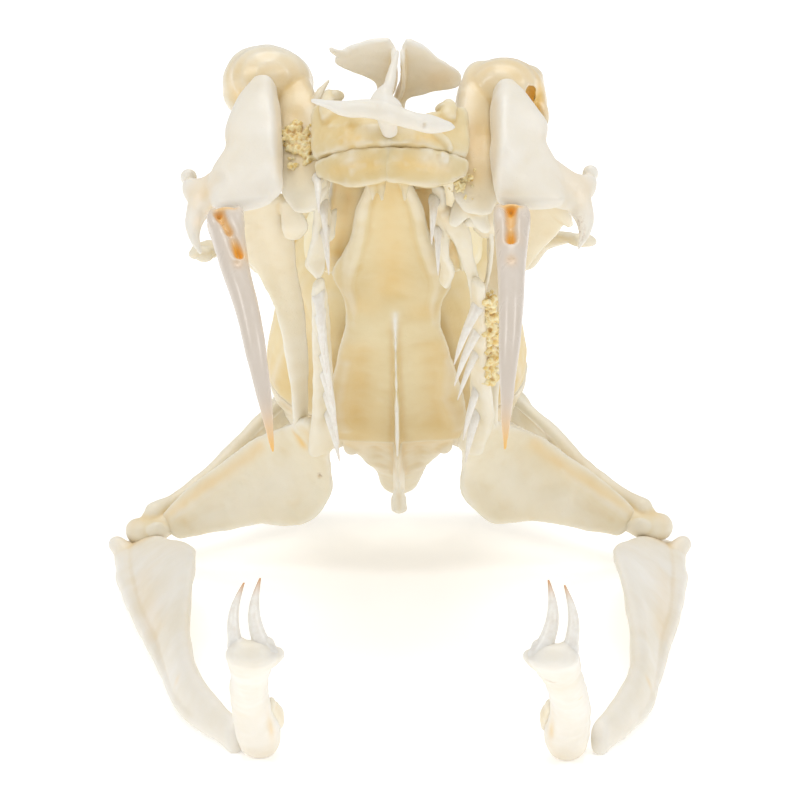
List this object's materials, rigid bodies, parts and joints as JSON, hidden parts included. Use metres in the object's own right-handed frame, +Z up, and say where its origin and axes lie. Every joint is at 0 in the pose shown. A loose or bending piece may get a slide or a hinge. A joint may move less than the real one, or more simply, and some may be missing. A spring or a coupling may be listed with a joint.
{
  "type": "rattlesnake skull",
  "caption": "Bare rattlesnake skull with the mouth wide open and long curved fangs erect, standing on its spread lower jaws.",
  "frame": {"origin": "on the floor under the middle of the skull: bottom centre of its bounding box", "axes": "+Z up, -Y the way the open mouth faces, +X to the right of someone who looks into the mouth"},
  "size_m": [0.0314, 0.058, 0.0326],
  "materials": {
    "bone": "satin cream bone",
    "bone_white": "satin bleached bone",
    "bone_amber": "satin amber bone of the braincase",
    "bone_palate": "satin yellowed bone of the palate and snout",
    "enamel": "glossy fang with amber tip"
  },
  "bodies": {
    "root": {"basioccipital": "bone", "basisphenoid": "bone_palate", "columella_left": "bone", "columella_right": "bone", "compound_left": "bone_white", "compound_right": "bone_white", "dentary_left": "bone_white", "dentary_right": "bone_white", "ectopterygoid_left": "bone", "ectopterygoid_right": "bone", "fang_left": "enamel", "fang_right": "enamel", "frontal_left": "bone_palate", "frontal_right": "bone_palate", "maxilla_left": "bone_white", "maxilla_right": "bone_white", "nasal_left": "bone", "nasal_right": "bone", "otic_left": "bone", "otic_right": "bone", "palatine_left": "bone", "palatine_right": "bone", "parietal": "bone_amber", "postorbital_left": "bone", "postorbital_right": "bone", "prefrontal_left": "bone", "prefrontal_right": "bone", "premaxilla": "bone_white", "pterygoid_left": "bone", "pterygoid_right": "bone", "quadrate_left": "bone", "quadrate_right": "bone", "septomaxilla_left": "bone_palate", "septomaxilla_right": "bone_palate", "splenial_left": "bone", "splenial_right": "bone", "supraoccipital": "bone", "supratemporal_left": "bone", "supratemporal_right": "bone", "vomer_left": "bone_palate", "vomer_right": "bone_palate"}
  },
  "joints": []
}
